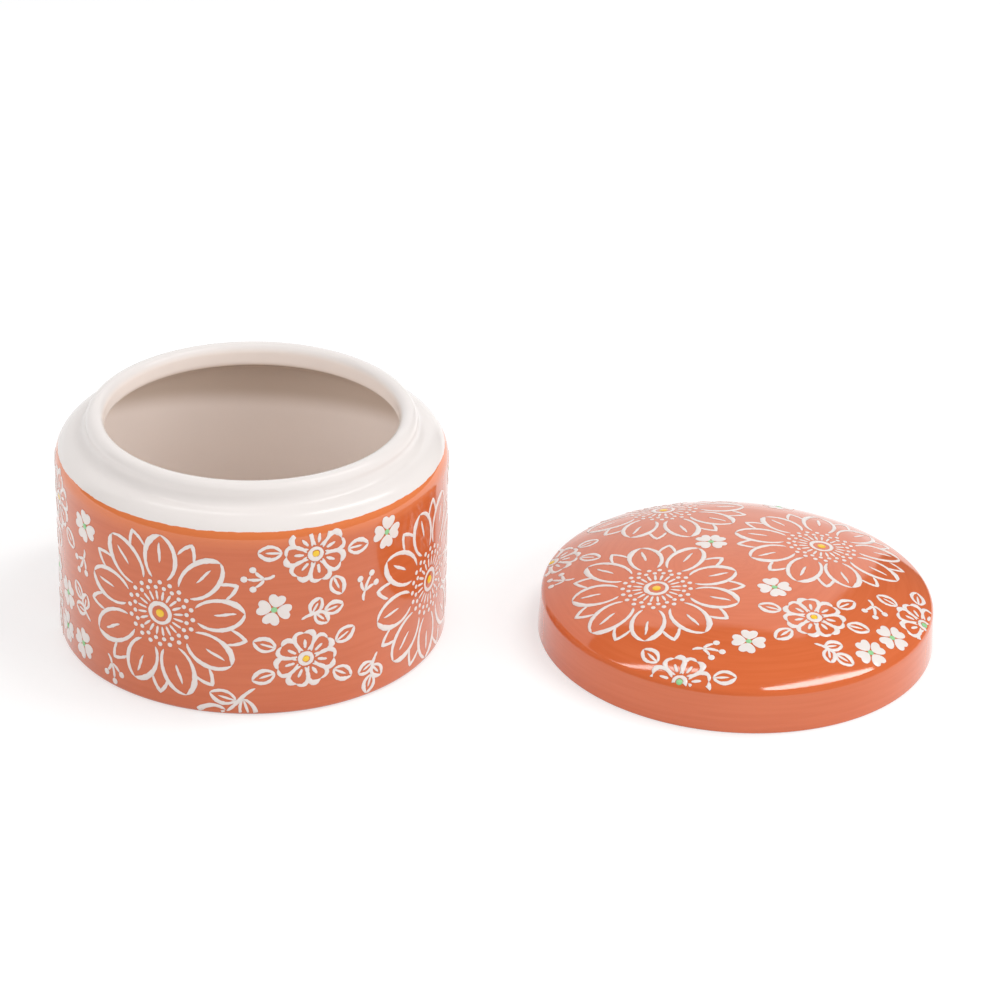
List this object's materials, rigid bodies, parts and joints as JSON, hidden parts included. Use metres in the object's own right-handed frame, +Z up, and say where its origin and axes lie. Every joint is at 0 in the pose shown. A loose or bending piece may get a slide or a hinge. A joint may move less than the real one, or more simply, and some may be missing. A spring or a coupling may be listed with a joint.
{
  "type": "candy box",
  "caption": "Round glazed stoneware candy jar with a set-in neck, and its shallow domed lid lying right side up beside it.",
  "frame": {"origin": "on the table, below the middle of the jar and the lid lying beside it", "axes": "+X from the jar to the lid, +Z up, out of the jar's mouth"},
  "size_m": [0.2832, 0.1282, 0.0751],
  "materials": {
    "jar_glaze": "glossy orange glaze outside, warm white glaze on the neck and inside",
    "lid_glaze": "glossy orange glaze outside, warm white glaze underneath"
  },
  "bodies": {
    "jar": {"jar_body": "jar_glaze"},
    "lid": {"lid": "lid_glaze"}
  },
  "joints": [
    {"name": "lid_lift", "type": "slide", "parent": "jar", "child": "lid", "axis": [0, 0, 1], "range_m": [0, 0.1]}
  ]
}
